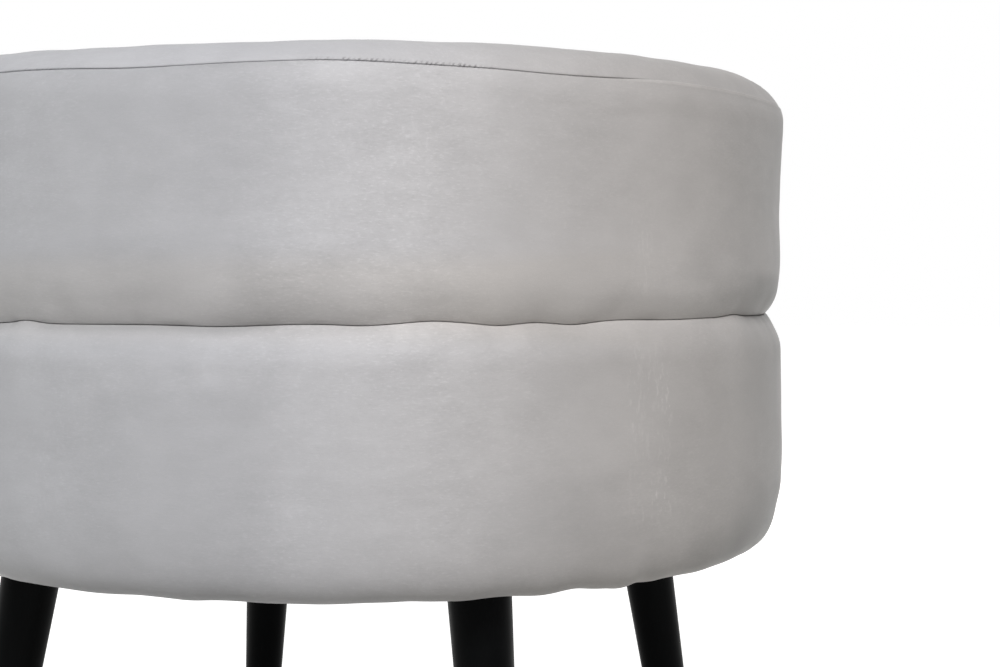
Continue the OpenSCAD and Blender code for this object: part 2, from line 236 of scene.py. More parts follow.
# The seams wander: listed one by one where the photo shows them, at about -120 to 10 degrees, and evenly scattered
# behind
WAIST_PULLS = [(-106, 3, 1.6), (-79, 6, -1.0), (-63, 3.5, -0.9), (-55.3, 3, 0.9), (-47.5, 3, -1.5), (-38.5, 3.3, -1.6),
               (-31, 4, 0.2), (-23, 5, -0.3), (-8, 3, 1.2), (9, 4, -0.5)]
WAIST_PULLS += scattered(5, 30, (3, 6), (-1.0, 1.0), (0, 180)) + scattered(6, 30, (3, 6), (-1.0, 1.0), (-180, -112))
SEAM_PULLS = [(-110, 9, 0.6), (-89, 9, -1.5), (-66, 9, 1.2), (-40, 8, -1.2)]
SEAM_PULLS += scattered(7, 16, (6, 10), (-0.9, 0.9), (0, 180)) + scattered(8, 16, (6, 10), (-0.9, 0.9), (-180, -125))
CROWN_PULLS = [(-120, 13, 3.6), (-98, 5, -0.5), (-88, 4, 0.35), (-85, 14, -2.0), (-60, 9, 0.5), (-54, 10, -0.4),
               (-42, 7, -0.4), (-27, 6, 0.4), (-17.5, 4, 0.4), (-13, 5, -0.3), (2, 8, 0.6)]
CROWN_PULLS += scattered(9, 12, (9, 14), (-0.8, 0.8), (15, 180)) + scattered(10, 12, (9, 14), (-0.8, 0.8), (-180, -140))
CROWN_RISE = 0.65 * MM
WELT_LIFT, WELT_OUT = 1.0 * MM, 0.55 * MM
PUCKER_REACH = 8 * MM
PUCKERS_ABOVE = scattered(11, 84, (0.7, 2.2), (0.05, 0.55))
PUCKERS_BELOW = scattered(12, 90, (0.7, 2.2), (0.05, 0.60))
# Places where the padding fills the groove at the waist
FILLED = [(-25, 13, 2.1), (-97, 12, 0.85)]
GATHERS = scattered(13, 64, (1.5, 4.5), (-0.9, 0.9))
GATHERS += [(-86, 7, 0.8), (-69, 5, -1.3), (-57.5, 2, 0.6), (-35.4, 3.2, 2.1), (-29.2, 1.6, -1.4),
            (-24, 2.2, -1.0), (-2, 5, 0.6), (9, 9, 1.2)]
# Faint creases: azimuth in degrees, height in mm, half length in degrees, slope and depth in mm
CREASES = [(-70.5, 410, 3.0, -4, 0.22), (-63, 404, 2.2, 2, 0.20), (-43, 416, 7, -1.5, 0.25), (-33, 411, 6, 1.5, 0.28),
           (-24, 414, 5, -2, 0.22), (-96, 372, 6, 1, 0.15), (-52, 350, 8, -1, 0.12), (-80, 264, 9, 1.2, 0.12)]
CREASE_HALF = 2.4 * MM
# Where the padding is fuller or slacker: azimuth and half width in degrees, height and half height, swell in mm
SWELLS = [(14, 13, 335, 26, -1.0), (14, 12, 375, 22, -1.0), (15, 11, 437, 7, 2.2), (14, 13, 235, 16, 0.5),
          (14, 12, 328, 8, -0.7), (14, 12, 303, 7, -0.9), (14, 12, 397, 14, -0.6), (14, 12, 428, 5, 0.6),
          (14, 12, 213, 8, 0.75), (-25, 12, 320, 8, 0.4), (-86, 18, 326, 15, -1.2), (150, 20, 360, 26, 0.6),
          (-160, 18, 250, 24, -0.5)]
# Soft waves in the padding: depth, size and seed. They go outwards on the side and upwards on the seat
SIDE_WAVES = [(0.45 * MM, 110 * MM, 21), (0.16 * MM, 34 * MM, 22)]
SEAT_WAVES = [(0.55 * MM, 130 * MM, 24), (0.18 * MM, 45 * MM, 25)]
GATHER_WAVES = [(0.25 * MM, 60 * MM, 23)]
# A fuller shoulder under the seam and a slacker one over the waist: swell, height and half height
SHOULDERS = [(0.45 * MM, SEAM_Z - 30 * MM, 15 * MM), (-0.5 * MM, WAIST_Z + 48 * MM, 16 * MM)]
# The seams' planes tilt a little: height in metres, towards the azimuth 90 degrees past the second number
WAIST_TILT, SEAM_TILT = (1.9 * MM, -62), (-2.3 * MM, -63)


def swells(az, z):
    return sum(out * MM * np.exp(-(turned(az, at) / w) ** 2 - ((z - height * MM) / (half * MM)) ** 2)
               for at, w, height, half, out in SWELLS)


def seam_rise(az, tilt, pulls):
    """How far a seam stands above its plain circle."""
    height, across = tilt
    return height * np.sin(np.radians(az - across)) + bumps(az, pulls)


def between(az, low, high, soft):
    """1 from low to high degrees, falling to 0 over soft outside."""
    return smooth(turned(az, low), -soft, 0) * (1 - smooth(turned(az, high), 0, soft))


def seam_out(az, z):
    """How far the cloth beside the top seam stands out. At -27 to 28 degrees the cloth is full there and closes over
    the seam; at -82 to -70 and behind at 95 to 135 the slit is drawn tight."""
    full, tight = between(az, -27, 28, 10), between(az, -82, -70, 6) + between(az, 95, 135, 8)
    return MM * (1.2 * full * hump(z - SEAM_Z + 2 * MM, 9 * MM) + 0.3 * tight * hump(z - SEAM_Z, 0.45 * MM))


def welt(az, r, z):
    """From 1 at -24 to 2 degrees, where the upper band's edge stands up as a low welt in front of the panel's."""
    edge = smooth(r, SEAM_R - 0.5 * MM, SEAM_R - 0.2 * MM) * (z <= SEAM_Z) * hump(z - SEAM_Z, 0.8 * MM)
    return between(az, -24, 2, 11) * edge


def creased(az, z):
    total = 0
    for at, height, half, slope, depth in CREASES:
        d = turned(az, at)
        across = z - height * MM - slope * MM * d / half
        total = total + depth * MM * hump(across, CREASE_HALF) * np.exp(-(d / half) ** 4)
    return total


def placed(outline, az):
    """Points of an outline at azimuths az (degrees), with the drum's unevenness."""
    r, z = outline[None, :, 0], outline[None, :, 1]
    a = az[:, None]
    c, s = np.cos(np.radians(a)), np.sin(np.radians(a))
    base = np.stack([r * c, r * s, z + 0 * a], -1)
    # Where each kind of unevenness reaches
    soft = smooth(r, SOFT_FROM, SOFT_TO)
    side = smooth(z, UNDER_Z + 4 * MM, UNDER_Z + 40 * MM) * (1 - smooth(z, SEAM_Z + 2 * MM, SEAM_Z + 12 * MM))
    near_waist = 1 - smooth(abs(z - WAIST_Z), 0, 70 * MM)
    near_seam = smooth(z, SEAM_Z - 70 * MM, SEAM_Z)
    on_crown = smooth(z, SEAM_Z + 1 * MM, SEAM_Z + 8 * MM)
    lift = near_waist * seam_rise(a, WAIST_TILT, WAIST_PULLS)
    lift = soft * (lift + near_seam * (1 - on_crown) * seam_rise(a, SEAM_TILT, SEAM_PULLS))
    lift = lift + on_crown * (CROWN_RISE + smooth(r, 60 * MM, 170 * MM) * bumps(a, CROWN_PULLS))
    lift = lift + WELT_LIFT * welt(a, r, z)
    # Outwards: soft waves, shoulders, puckers, creases and swells
    out = layered(base, SIDE_WAVES) + sum(swell * hump(z - at, half) for swell, at, half in SHOULDERS)
    above, below = smooth(z, WAIST_Z - 1 * MM, WAIST_Z), 1 - smooth(z, WAIST_Z, WAIST_Z + 1 * MM)
    fade = np.exp(-abs(z - WAIST_Z) / PUCKER_REACH)
    out = out - fade * (above * bumps(a, PUCKERS_ABOVE) + below * bumps(a, PUCKERS_BELOW))
    out = out + fade * bumps(a, FILLED) - creased(a, z) + swells(a, z)
    out = out + seam_out(a, z) + WELT_OUT * welt(a, r, z)
    out = out * soft * side
    # Upwards: gathers under the base, and a gently uneven seat
    gather = smooth(r, 215 * MM, 227 * MM) * (1 - smooth(z, UNDER_Z + 8 * MM, UNDER_Z + 55 * MM))
    lift = lift + gather * (bumps(a, GATHERS) + layered(base, GATHER_WAVES))
    on_top = smooth(z, SEAM_Z + 3 * MM, SEAM_Z + 11 * MM)
    lift = lift + on_top * layered(base * [1, 1, 0], SEAT_WAVES)
    if SETTLED is not None:
        away, toward_r, toward_z = settled(outline, len(az))
        away = away * np.maximum(soft * side, SEAT_SHARE * smooth(z, SEAM_Z, SEAM_Z + 6 * MM))
        out = out + away * toward_r
        lift = lift + away * toward_z
    r2 = r + out
    return np.stack([r2 * c, r2 * s, z + lift], -1)


# How the simulated cloth settles
SKIN_STEP = 5 * MM
SKIN_COLUMNS = 288
SKIN_FRAMES = 20
PRESSURE = 4
STARTS_INSIDE = 2.5 * MM
START_WAVES = [(0.25 * MM, 22 * MM, 51), (0.5 * MM, 60 * MM, 52)]
GROWTH = 0.012
LOOSELY_HELD = 0.02
# How much of its unevenness is used, at most how much, and how much on the seat
SETTLED_SHARE = 0.5
SETTLED_CAP = 1.2 * MM
SEAT_SHARE = 0.3
SETTLED = None


def skin_rows():
    """The cover's whole outer face, from the staples under the base over waist and top seam onto the seat, and which
    of its rows lie at the waist and at the seam."""
    under = line((UNDER_R - 26 * MM, UNDER_Z), (UNDER_R, UNDER_Z), 12)
    low = resample(chain(under, bottom_corner(), waist_below(0, GROOVE_IN, GROOVE_LOWER)), SKIN_STEP)
    high = resample(chain(waist_above(0, GROOVE_IN, GROOVE_UPPER, power=GROOVE_UPPER_POWER), seam_side()), SKIN_STEP)
    roof = crown()
    roof = resample(roof[roof[:, 0] > 100 * MM], SKIN_STEP)
    return np.concatenate([low, high[1:], roof[1:]]), len(low) - 1, len(low) + len(high) - 2


SKIN, WAIST_ROW, SEAM_ROW = skin_rows()
SKIN_NORMAL = np.gradient(SKIN, axis=0)[:, ::-1] * [1, -1]
SKIN_NORMAL /= np.linalg.norm(SKIN_NORMAL, axis=1)[:, None]


def blown_up():
    """The stuffed cover as cloth under pressure, held along its staples and seams. It starts a little smaller than
    its padding and swells; what counts is how unevenly it then lies, as [column, row] along the face's normal."""
    rows, count = len(SKIN), SKIN_COLUMNS
    az = np.arange(count) * 360 / count
    held = np.zeros(rows, bool)
    held[[0, 1, 2, 3, WAIST_ROW, SEAM_ROW, rows - 1]] = True
    row = np.arange(rows)
    from_seam = SKIN_STEP * np.minimum(abs(row - WAIST_ROW), abs(row - SEAM_ROW))
    slack = smooth(from_seam, 0, 20 * MM) * ~held
    rest = placed(SKIN, az)
    c, s = np.cos(np.radians(az))[:, None], np.sin(np.radians(az))[:, None]
    upright = np.broadcast_to(SKIN_NORMAL[:, 1], (count, rows))
    face = np.stack([SKIN_NORMAL[:, 0] * c, SKIN_NORMAL[:, 0] * s, upright], -1)
    start = rest + face * (slack * (layered(rest, START_WAVES) - STARTS_INSIDE))[..., None]
    obj = grid_mesh("cloth_over_padding", start, np.zeros(count + 1), np.zeros(rows), wrap=False)
    group = obj.vertex_groups.new(name="held")
    index = np.arange(count * rows).reshape(count, rows)
    group.add(index[:, held].ravel().tolist(), 1.0, "REPLACE")
    group.add(index[:, ~held].ravel().tolist(), LOOSELY_HELD, "REPLACE")
    cloth = obj.modifiers.new("cloth", "CLOTH")
    settings = cloth.settings
    settings.quality, settings.mass = 5, 0.05
    settings.tension_stiffness = settings.compression_stiffness = 15
    settings.shear_stiffness, settings.bending_stiffness = 5, 1.5
    settings.use_pressure, settings.uniform_pressure_force = True, PRESSURE
    settings.vertex_group_mass, settings.pin_stiffness = "held", 1.0
    settings.shrink_min = -GROWTH
    settings.effector_weights.gravity = 0
    cloth.collision_settings.use_collision = False
    cloth.collision_settings.use_self_collision = False
    cloth.point_cache.frame_start, cloth.point_cache.frame_end = 1, SKIN_FRAMES
    scene = bpy.context.scene
    for frame_number in range(1, SKIN_FRAMES + 1):
        scene.frame_set(frame_number)
    swollen = obj.evaluated_get(bpy.context.evaluated_depsgraph_get())
    co = np.empty(3 * count * rows, np.float32)
    swollen.data.vertices.foreach_get("co", co)
    mesh = obj.data
    bpy.data.objects.remove(obj)
    bpy.data.meshes.remove(mesh)
    scene.frame_set(1)
    away = ((co.reshape(count, rows, 3).astype(float) - rest) * face).sum(-1)
    away -= away.mean(0)
    for _ in range(2):
        away = (np.roll(away, 1, 0) + 2 * away + np.roll(away, -1, 0)) / 4
        away[:, 1:-1] = (away[:, :-2] + 2 * away[:, 1:-1] + away[:, 2:]) / 4
    away[:, held] = 0
    return SETTLED_CAP * np.tanh(SETTLED_SHARE * away / SETTLED_CAP)


def settled(outline, count):
    """How far the simulated cloth departs at the points of an outline, for count columns, and the direction in radius
    and height. Between its columns the field is filled in with its own waves, between its rows with a smooth curve."""
    a, along = SKIN[:-1], np.diff(SKIN, axis=0)
    d = outline[:, None] - a
    t = np.clip((d * along).sum(-1) / (along ** 2).sum(-1), 0, 1)
    nearest = np.linalg.norm(d - t[..., None] * along, axis=-1).argmin(1)
    t = t[np.arange(len(outline)), nearest][:, None]
    spectrum = np.fft.rfft(SETTLED, axis=0)
    field = np.fft.irfft(spectrum, n=count, axis=0) * count / SKIN_COLUMNS
    p = [field[:, np.clip(nearest + k, 0, len(SKIN) - 1)].T for k in (-1, 0, 1, 2)]
    bend = 2 * p[0] - 5 * p[1] + 4 * p[2] - p[3] + t * (3 * (p[1] - p[2]) + p[3] - p[0])
    away = p[1] + 0.5 * t * (p[2] - p[0] + t * bend)
    normal = SKIN_NORMAL[nearest] * (1 - t) + SKIN_NORMAL[nearest + 1] * t
    return away.T, normal[:, 0], normal[:, 1]


# Meshes
def added(name, data):
    """A new object in the scene."""
    obj = bpy.data.objects.new(name, data)
    bpy.context.scene.collection.objects.link(obj)
    return obj


def grid_mesh(name, points, around, over, wrap=True, poles=False):
    """Mesh over a grid of points [column, row]. Columns close into a ring; rows close into a tube where wrap is true,
    and the first and last rows close into points where poles is true. around and over are the UVs in metres."""
    m, n = points.shape[:2]
    index = np.arange(m * n).reshape(m, n)
    rows = n if wrap else n - 1
    i, j = np.meshgrid(np.arange(m), np.arange(rows), indexing="ij")
    corners = [(i, j), (i + 1, j), (i + 1, j + 1), (i, j + 1)]
    quads = np.stack([index[a % m, b % n] for a, b in corners], -1).reshape(-1, 4)
    uv = np.stack([np.stack([around[a], over[b]], -1) for a, b in corners], 2).reshape(-1, 2)
    co = points.reshape(-1, 3)
    loops, sizes = quads.reshape(-1), np.full(len(quads), 4)
    if poles:
        tips = np.stack([points[:, 0].mean(0), points[:, -1].mean(0)])
        k = np.arange(m)
        k2 = (k + 1) % m
        first = np.stack([np.full(m, len(co)), index[k2, 0], index[k, 0]], -1)
        last = np.stack([np.full(m, len(co) + 1), index[k, n - 1], index[k2, n - 1]], -1)
        co = np.concatenate([co, tips])
        loops = np.concatenate([loops, first.reshape(-1), last.reshape(-1)])
        sizes = np.concatenate([sizes, np.full(2 * m, 3)])
        tip_uv = [np.stack([np.repeat(around[:m], 3), np.full(3 * m, v)], -1) for v in (over[0], over[-1])]
        uv = np.concatenate([uv, *tip_uv])
    mesh = bpy.data.meshes.new(name)
    mesh.vertices.add(len(co))
    mesh.vertices.foreach_set("co", co.astype(np.float32).ravel())
    mesh.loops.add(len(loops))
    mesh.loops.foreach_set("vertex_index", loops.astype(np.int32))
    starts = np.concatenate([[0], np.cumsum(sizes)[:-1]])
    mesh.polygons.add(len(sizes))
    mesh.polygons.foreach_set("loop_start", starts.astype(np.int32))
    mesh.polygons.foreach_set("loop_total", sizes.astype(np.int32))
    mesh.polygons.foreach_set("use_smooth", np.ones(len(sizes), bool))
    layer = mesh.uv_layers.new(name="UVMap")
    layer.data.foreach_set("uv", uv.astype(np.float32).ravel())
    mesh.update(calc_edges=True)
    mesh.validate()
    return added(name, mesh)


SETTLED = blown_up()


def revolved(name, outline, seam_at=0, columns=COLUMNS, poles=False):
    """Soft piece from its outline. UV's v is the distance along the outline from the point seam_at."""
    az = np.arange(columns) * 360 / columns
    points = placed(outline, az)
    over = lengths(np.concatenate([outline, outline[:1]]))
    over -= over[seam_at]
    around = np.arange(columns + 1) * 2 * math.pi * DRUM_R / columns
    if poles:
        over = over[:-1]
    return grid_mesh(name, points, around, over, wrap=not poles, poles=poles)


def area_sign(outline):
    x, y = outline[:, 0], outline[:, 1]
    return float(np.sum(x * np.roll(y, -1) - np.roll(x, -1) * y))


def outward(outline):
    """The outline in the order that gives faces looking out."""
    return outline if area_sign(outline) < 0 else outline[::-1]


def soft_piece(name, outline, material, replaced, seam_at=0, columns=COLUMNS, poles=False):
    obj = revolved(name, outline, seam_at, columns, poles)
    obj.data.materials.append(material)
    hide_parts(*replaced)
    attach(obj, "root")
    return obj


# Materials
class Nodes:
    """A node tree with short calls for the nodes used here."""

    def __init__(self, owner):
        owner.use_nodes = True
        self.tree = owner.node_tree

    def put(self, socket, value):
        if isinstance(value, bpy.types.NodeSocket):
            self.tree.links.new(value, socket)
        else:
            socket.default_value = value

    def node(self, kind, settings=(), **inputs):
        n = self.tree.nodes.new(kind)
        for key, value in dict(settings).items():
            setattr(n, key, value)
        for key, value in inputs.items():
            self.put(next(s for s in n.inputs if s.name.replace(" ", "_") == key and s.enabled), value)
        return n

    def math(self, operation, a, b=0.0, c=0.0):
        n = self.tree.nodes.new("ShaderNodeMath")
        n.operation = operation
        for socket, value in zip(n.inputs, (a, b, c)):
            self.put(socket, value)
        return n.outputs[0]

    def times(self, first, *others):
        for other in others:
            first = self.math("MULTIPLY", first, other)
        return first

    def plus(self, first, *others):
        for other in others:
            first = self.math("ADD", first, other)
        return first

    def band(self, x, centre, half, soft):
        """1 within half of centre, falling to 0 over soft."""
        d = self.math("ABSOLUTE", self.math("SUBTRACT", x, centre))
        return self.ranged(d, half, half + soft, 1.0, 0.0)

    def ranged(self, x, a, b, lo=0.0, hi=1.0):
        """From lo to hi as x goes from a to b."""
        return self.node("ShaderNodeMapRange", {"interpolation_type": "SMOOTHSTEP"}, Value=x, From_Min=a, From_Max=b,
                         To_Min=lo, To_Max=hi).outputs[0]

    def place(self, kind="Object"):
        """X, Y and Z of the point, or its UV."""
        return self.node("ShaderNodeSeparateXYZ", Vector=self.node("ShaderNodeTexCoord").outputs[kind]).outputs

    def coords(self, scale=(1, 1, 1), turn=(0, 0, 0)):
        source = self.node("ShaderNodeTexCoord").outputs["Object"]
        return self.node("ShaderNodeMapping", Vector=source, Scale=scale, Rotation=turn).outputs[0]

    def noise(self, scale, detail=2.0, roughness=0.5, distortion=0.0, turn=(0, 0, 0)):
        """Noise with one scale, or with one along each axis."""
        scale = [scale] * 3 if isinstance(scale, int) else scale
        return self.node("ShaderNodeTexNoise", Vector=self.coords(scale, turn), Scale=1.0, Detail=detail,
                         Roughness=roughness, Distortion=distortion).outputs["Fac"]

    def seen(self):
        """1 for what the camera sees, straight or in a reflection."""
        ray = self.node("ShaderNodeLightPath").outputs
        mirrored = self.math("MAXIMUM", ray["Is Glossy Ray"], ray["Is Transmission Ray"])
        return self.math("MAXIMUM", ray["Is Camera Ray"], mirrored)

    def mix(self, factor, a, b, blend="MIX"):
        """Mix of two colours, each a socket or its red, green and blue."""
        n = self.tree.nodes.new("ShaderNodeMix")
        n.data_type, n.blend_type = "RGBA", blend
        self.put(n.inputs["Factor"], factor)
        for socket, colour in (n.inputs[6], a), (n.inputs[7], b):
            self.put(socket, (*colour, 1) if isinstance(colour, tuple) else colour)
        return n.outputs[2]

    def grey(self, value):
        return self.node("ShaderNodeCombineColor", Red=value, Green=value, Blue=value).outputs[0]

    def tinted(self, colour, *factors):
        """A colour times factors around 1."""
        return self.mix(1.0, colour, self.grey(self.times(*factors)), "MULTIPLY")

    def bump(self, height, distance, strength=1.0, normal=None):
        n = self.node("ShaderNodeBump", Height=height, Distance=distance, Strength=strength)
        if normal is not None:
            self.put(n.inputs["Normal"], normal)
        return n.outputs[0]


class Shader(Nodes):
    """A material around the Principled BSDF."""

    def __init__(self, name):
        self.material = bpy.data.materials.new(name)
        super().__init__(self.material)
        self.bsdf = self.tree.nodes["Principled BSDF"]

    def set(self, **values):
        for key, value in values.items():
            self.put(self.bsdf.inputs[key.replace("_", " ")], value)
        return self.material


# The velvet's grey as painted cool light on one side and painted warm shade on the other
VELVET_COOL_LIT = (0.468, 0.472, 0.493)
VELVET_WARM_SHADED = (0.488, 0.472, 0.460)
# Where hands have brushed the nap flat or up, with painted highlight and painted shade among them: azimuth, half width
# and softness in degrees, gain
BRUSHED_NAP_AND_PAINTED_LIGHT = [(-58, 8, 12, 0.06), (-84, 7, 8, -0.05), (-110, 5, 8, 0.05), (-43, 3, 6, -0.03), (-20, 8, 8, 0.02),
           (15, 6, 12, -0.10), (100, 12, 10, 0.04), (150, 9, 9, -0.04), (52, 9, 9, 0.03)]
# Scuffed places, where single tufts stand up: azimuth and half width in degrees, lowest and highest in metres, gain
SCUFFED = [(-28.5, 2.9, 0.22, 0.29, 0.16), (-30, 1.2, 0.33, 0.36, 0.06), (-100, 2.0, 0.22, 0.28, 0.04),
           (-61, 5.0, 0.385, 0.40, 0.05), (64, 4.0, 0.22, 0.27, 0.09), (-170, 3.0, 0.34, 0.40, 0.09)]
# Places painted lighter or darker as painted light and shade: azimuth, half width and softness in degrees, height, half
# height and softness in mm, gain
PAINTED_LIGHT_AND_SHADE = [(-105, 15, 10, 177, 6, 39, 0.09), (8, 9, 12, 220, 89, 5, -0.13), (5, 10, 12, 177, 8, 50, -0.29),
        (-13, 4, 6, 180, 8, 22, -0.14), (-77.8, 1, 4.5, 293, 8, 8, 0.12), (-97, 9, 8, 334, 7, 14, -0.08),
        (-54, 20, 8, 221, 9, 13, -0.055), (-70.5, 4, 5, 328, 11, 18, -0.085), (3, 6, 9, 321, 8, 9, -0.24),
        (-21, 2, 5, 320, 5, 8, 0.12)]
STITCH = 2.6 * MM


def velvet(name, flat):
    """Short-pile velvet. Its nap runs round the drum, or along X on the flat seat."""
    s = Shader(name)
    x, y, z = s.place()
    az = s.times(s.math("ARCTAN2", y, x), 180 / math.pi)
    uv = s.place("UV")

    def toward(azimuth):
        """From -1 to 1 across the drum towards an azimuth."""
        along = s.times(x, math.cos(math.radians(azimuth)) / DRUM_R)
        return s.math("MULTIPLY_ADD", y, math.sin(math.radians(azimuth)) / DRUM_R, along)

    def shade(mask, gain):
        """Lighter or darker by the gain where the mask is 1."""
        factors.append(s.math("MULTIPLY_ADD", mask, gain, 1.0))

    long_way, across = 300, 1000
    stretch = (long_way, across, across) if flat else (long_way, long_way, across)
    streaks = s.noise(stretch, 3.0, 0.6)
    flecks = s.noise([k * 1.3 for k in stretch], 1.5, turn=(0, 0, 0.7))
    tufts = s.noise([k * 0.22 for k in stretch], 2.0, 0.6, turn=(0, 0, 0.3))
    brushed = s.noise((9, 9, 12), 3.0, 0.55, 0.6)
    patches = s.noise((34, 34, 46), 2.0, 0.5)
    pile = s.noise(2300, 2.0, 0.6)
    rubbed = s.ranged(s.noise((13, 13, 17), 2.0), 0.35, 0.62, 0.25, 0.6)
    if not flat:
        stirred = s.ranged(z, WAIST_Z - 20 * MM, WAIST_Z + 20 * MM, 0.28, 0.43)
        rubbed = s.plus(rubbed, s.times(s.band(az, -63, 7, 9), stirred))
    nap = s.plus(s.ranged(streaks, 0.3, 0.7, -0.024, 0.024), s.ranged(flecks, 0.57, 0.70, 0.0, 0.10),
                 s.ranged(flecks, 0.30, 0.42, -0.05, 0.0), s.ranged(tufts, 0.3, 0.7, -0.035, 0.035))
    factors = [
        s.math("MULTIPLY_ADD", nap, rubbed, 1.0),
        s.ranged(brushed, 0.3, 0.7, 0.97, 1.03),
        s.ranged(patches, 0.35, 0.65, 0.98, 1.02),
        s.ranged(pile, 0.3, 0.7, 0.98, 1.02),
    ]
    from_seam = s.math("ABSOLUTE", uv["Y"])
    if flat:
        # On the seat, painted shade towards -25 degrees and painted light towards -75 degrees, and painted shade along
        # the seam
        factors += [s.ranged(toward(-25), 0.80, 0.93, 1.0, 0.93), s.ranged(toward(-75), 0.72, 0.90, 1.0, 1.05)]
        shade(s.ranged(from_seam, 0.2 * MM, 2.0 * MM, 1.0, 0.0), -0.12)
    else:
        # Brushed nap, with painted highlight and painted shade round the drum
        for *where, gain in BRUSHED_NAP_AND_PAINTED_LIGHT:
            shade(s.band(az, *where), gain)
        dashes = s.ranged(s.noise((400, 400, 170), 2.0, 0.6), 0.52, 0.68)
        torn = s.ranged(s.noise((45, 45, 30), 1.0), 0.38, 0.60, 0.35, 1.0)
        for at, half, low, high, gain in SCUFFED:
            upright = s.band(z, (low + high) / 2, (high - low) / 2, 15 * MM)
            shade(s.times(s.band(az, at, half, 1.2), upright, s.times(dashes, torn)), gain)
        # Painted light and shade in patches round the drum
        for at, half, soft, level, tall, fade, gain in PAINTED_LIGHT_AND_SHADE:
            shade(s.times(s.band(az, at, half, soft), s.band(z, level * MM, tall * MM, fade * MM)), gain)
        # A painted highlight on the welt at the seam, where it catches the light
        at_seam = s.ranged(z, SEAM_Z - 40 * MM, SEAM_Z - 30 * MM)
        shade(s.times(s.band(uv["Y"], 0.0, 1.0 * MM, 0.8 * MM), s.band(az, -3, 25, 6), at_seam), 0.16)
        # Painted shade just under the top seam and towards the bottom edge
        shade(s.band(z, SEAM_Z, 22 * MM, 22 * MM), -0.035)
        factors.append(s.ranged(z, UNDER_Z + 6 * MM, UNDER_Z + 50 * MM, 0.93, 1.0))
        # Painted light just above the waist, standing in for the light the tier below throws up
        painted_bounce = s.math("SUBTRACT", 1.0, s.band(az, -71, 6, 8))
        shade(s.times(s.band(z, WAIST_Z + 3 * MM, 3 * MM, 7 * MM), painted_bounce), 0.06)
        # Painted shadow just below the waist, most where the upper tier hangs over it
        below = s.math("SUBTRACT", 1.0, s.ranged(z, WAIST_Z - 1 * MM, WAIST_Z + 4 * MM))
        hung_over = s.plus(0.15, s.band(az, -103, 20, 14))
        shade(s.times(s.ranged(from_seam, 1 * MM, 9 * MM, 1.0, 0.0), below, hung_over), -0.22)
    # Stitches draw the cloth in along the seam, more at some places than at others
    held = s.ranged(s.noise(14, 1.0), 0.50, 0.62, 0.0, 0.5)
    held = s.math("MAXIMUM", held, s.band(az, -59, 7, 5))
    uneven = s.times(s.noise(150, 2.0), 9.0)
    slant = s.plus(s.times(uv["X"], 2 * math.pi / STITCH), s.times(uv["Y"], 2100), uneven)
    tick = s.ranged(s.math("SINE", slant), -0.2, 0.9)
    near = s.band(uv["Y"], 0.0, (1.1 if flat else 0.4) * MM, (1.6 if flat else 0.8) * MM)
    if not flat:
        held = s.times(held, at_seam)
    firm = s.ranged(s.noise(230, 1.0), 0.38, 0.62, 0.1, 1.0)
    stitch = s.times(tick, near, s.times(held, firm))
    shade(stitch, -0.28 if flat else -0.11)
    height = s.plus(s.times(streaks, 0.6), s.times(pile, 0.4))
    normal = s.bump(height, 0.25 * MM, 0.35)
    normal = s.bump(stitch, -0.5 * MM, 0.7 if flat else 0.35, normal)
    # The pile is tinted from cool to warm round the drum as painted light colour, and warmer above the waist as painted
    # shade
    lean = s.ranged(toward(37), -0.5, 0.6)
    if not flat:
        lean = s.plus(lean, s.times(s.band(z, WAIST_Z + 12 * MM, 10 * MM, 16 * MM), 0.5))
    colour = s.mix(lean, VELVET_COOL_LIT, VELVET_WARM_SHADED)
    s.set(Base_Color=s.tinted(colour, *factors), Roughness=0.5, Normal=normal, Specular_IOR_Level=0.24)
    s.set(Sheen_Weight=0.03, Sheen_Roughness=0.4)
    if not flat:
        # The nap lies round the drum, so its gloss stretches up and down
        around = s.node("ShaderNodeTangent", {"direction_type": "RADIAL", "axis": "Z"}).outputs[0]
        s.set(Anisotropic=0.7, Anisotropic_Rotation=0.25, Tangent=around)
    return s.material


def wood(name, colour, dark, along, rings, roughness):
    """Sawn wood with its grain along the given axis."""
    s = Shader(name)
    scale = [rings] * 3
    scale["XYZ".index(along)] = rings * 0.05
    grain = s.noise(scale, 4.0, 0.6, 0.8)
    fine = s.noise([6 * k for k in scale], 2.0, 0.6)
    colour = s.mix(s.ranged(grain, 0.35, 0.65), colour, dark)
    colour = s.mix(0.25, colour, s.grey(fine), "OVERLAY")
    rough = s.ranged(fine, 0.3, 0.7, roughness - 0.06, roughness + 0.08)
    return s.set(Base_Color=colour, Roughness=rough, Normal=s.bump(fine, 0.15 * MM, 0.4))


PLIES = 9


def plywood(name, bottom, thickness):
    """Board of veneers, with their layers on its cut edges."""
    s = Shader(name)
    up = s.node("ShaderNodeSeparateXYZ", Vector=s.node("ShaderNodeNewGeometry").outputs["Normal"]).outputs["Z"]
    edge = s.ranged(s.math("ABSOLUTE", up), 0.4, 0.6, 1.0, 0.0)
    ply = s.math("SINE", s.times(s.math("SUBTRACT", s.place()["Z"], bottom), math.pi * PLIES / thickness))
    grain = s.noise((8, 150, 150), 5.0, 0.6, 1.0)
    fine = s.noise((60, 900, 900), 2.0, 0.6)
    face = s.mix(s.ranged(grain, 0.3, 0.7), (0.66, 0.48, 0.29), (0.50, 0.34, 0.18))
    cut = s.mix(s.ranged(ply, -0.2, 0.2), (0.36, 0.23, 0.12), (0.66, 0.50, 0.31))
    colour = s.mix(edge, face, cut)
    colour = s.mix(0.2, colour, s.grey(fine), "OVERLAY")
    return s.set(Base_Color=colour, Roughness=0.68, Normal=s.bump(fine, 0.12 * MM, 0.4))


